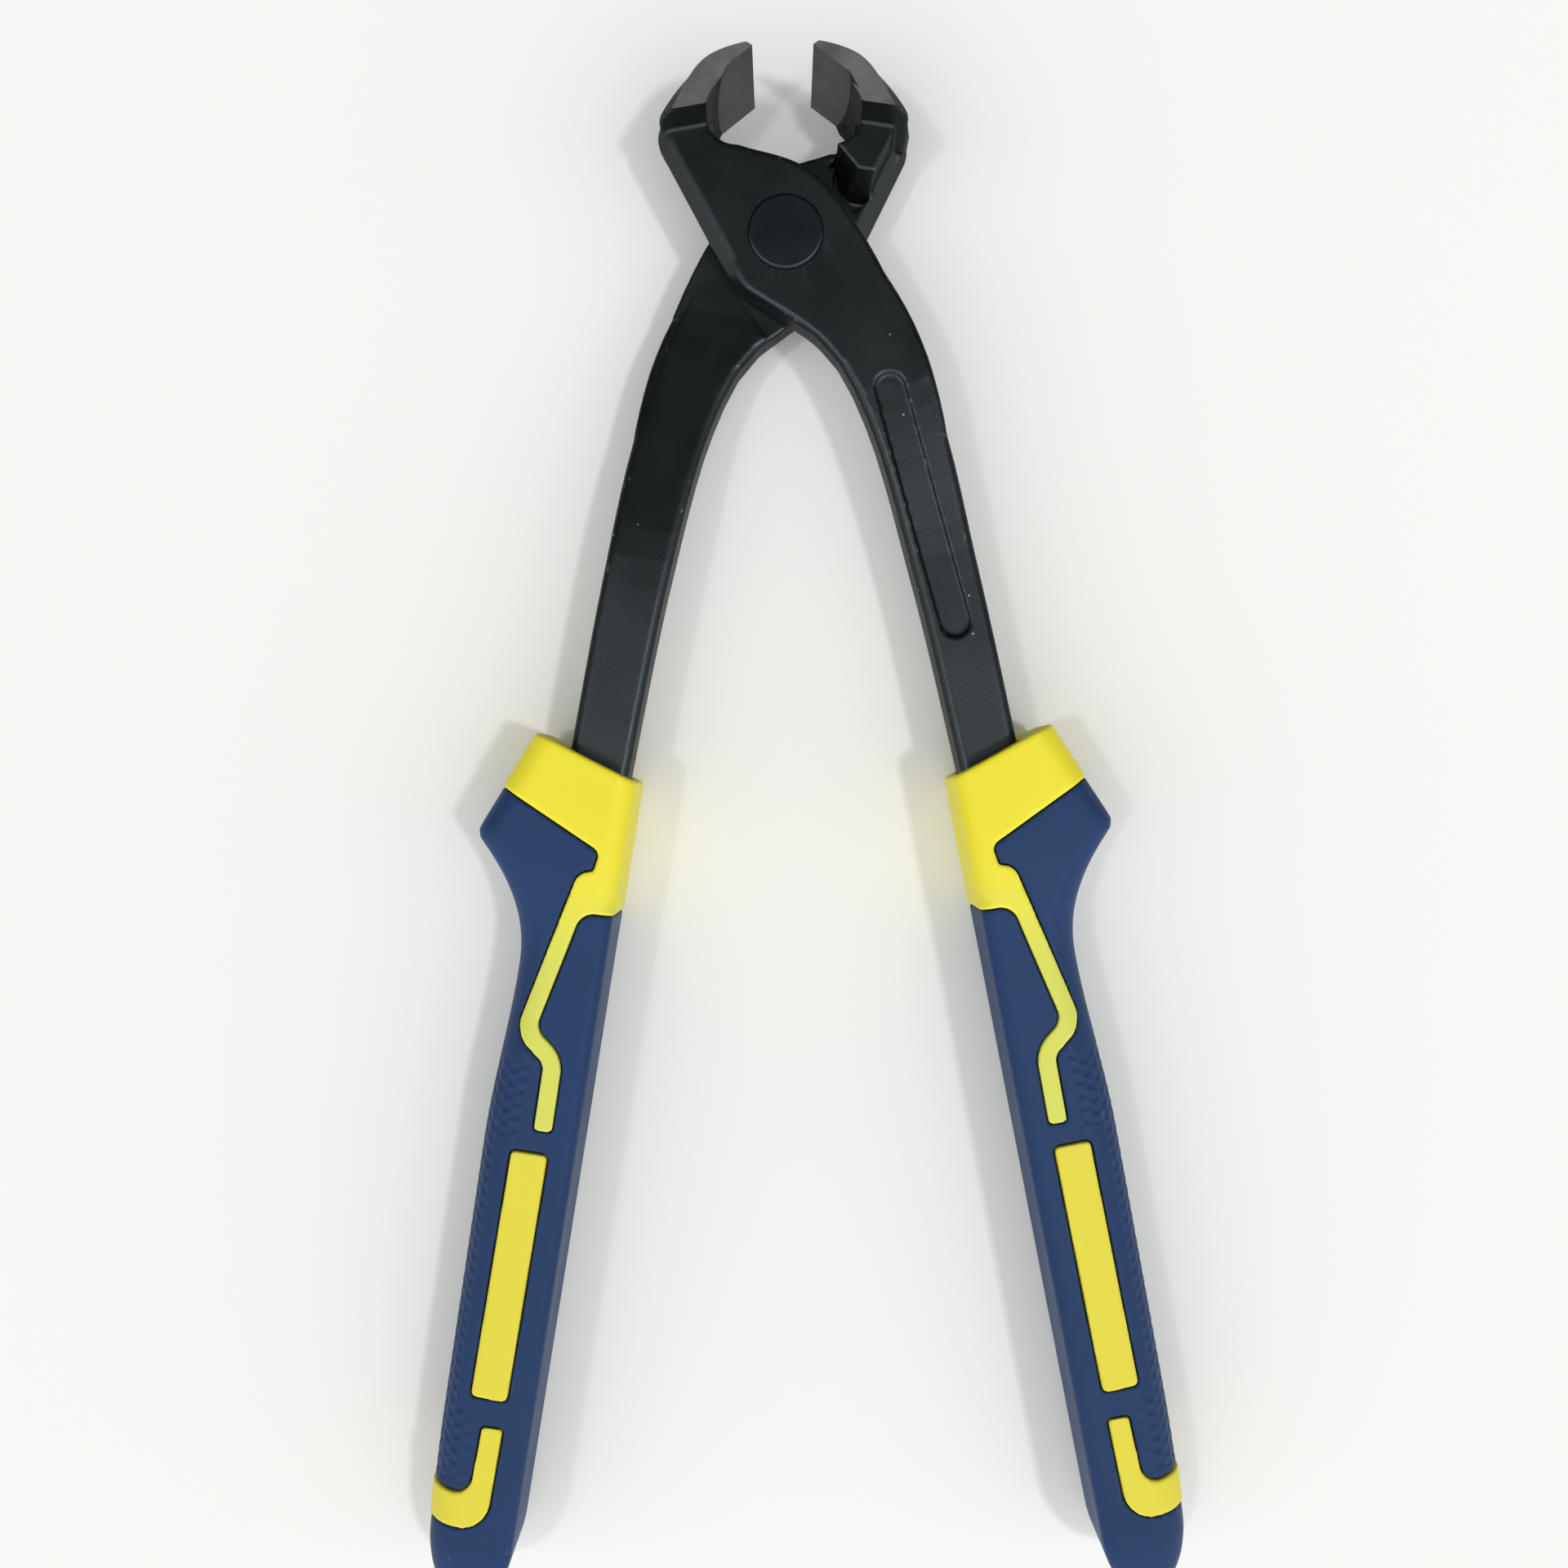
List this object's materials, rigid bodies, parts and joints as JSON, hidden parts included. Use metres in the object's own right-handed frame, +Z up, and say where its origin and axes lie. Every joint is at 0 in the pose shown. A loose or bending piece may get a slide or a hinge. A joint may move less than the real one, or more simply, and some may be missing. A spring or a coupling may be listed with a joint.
{
  "type": "concreters nippers",
  "caption": "Hand nippers with two lapped forged levers on a rivet, curved cutting jaws and long two-shot grips, for cutting and twisting tying wire.",
  "frame": {"origin": "under the middle of the nippers as they lie flat, on the surface that they lie on", "axes": "+Y from the butts of the grips to the jaws, +Z up along the rivet, +X towards the right grip"},
  "size_m": [0.1218, 0.2476, 0.022],
  "materials": {
    "lever_steel": "black phosphated forging with ground grey jaw end faces",
    "rivet_steel": "black phosphated, faced flat",
    "grip_first_shot": "satin yellow moulded plastic",
    "grip_second_shot": "satin navy blue thermoplastic rubber with small dimples on the outside"
  },
  "bodies": {
    "front": {"front_lever": "lever_steel", "pivot_rivet": "rivet_steel", "right_grip_core": "grip_first_shot", "right_grip_skin": "grip_second_shot"},
    "rear": {"rear_lever": "lever_steel", "left_grip_core": "grip_first_shot", "left_grip_skin": "grip_second_shot"}
  },
  "joints": [
    {"name": "pivot", "type": "hinge", "parent": "front", "child": "rear", "pos_m": [0, 0.09562, 0.011], "axis": [0, 0, 1], "range_deg": [-21.2, 18.7]}
  ]
}
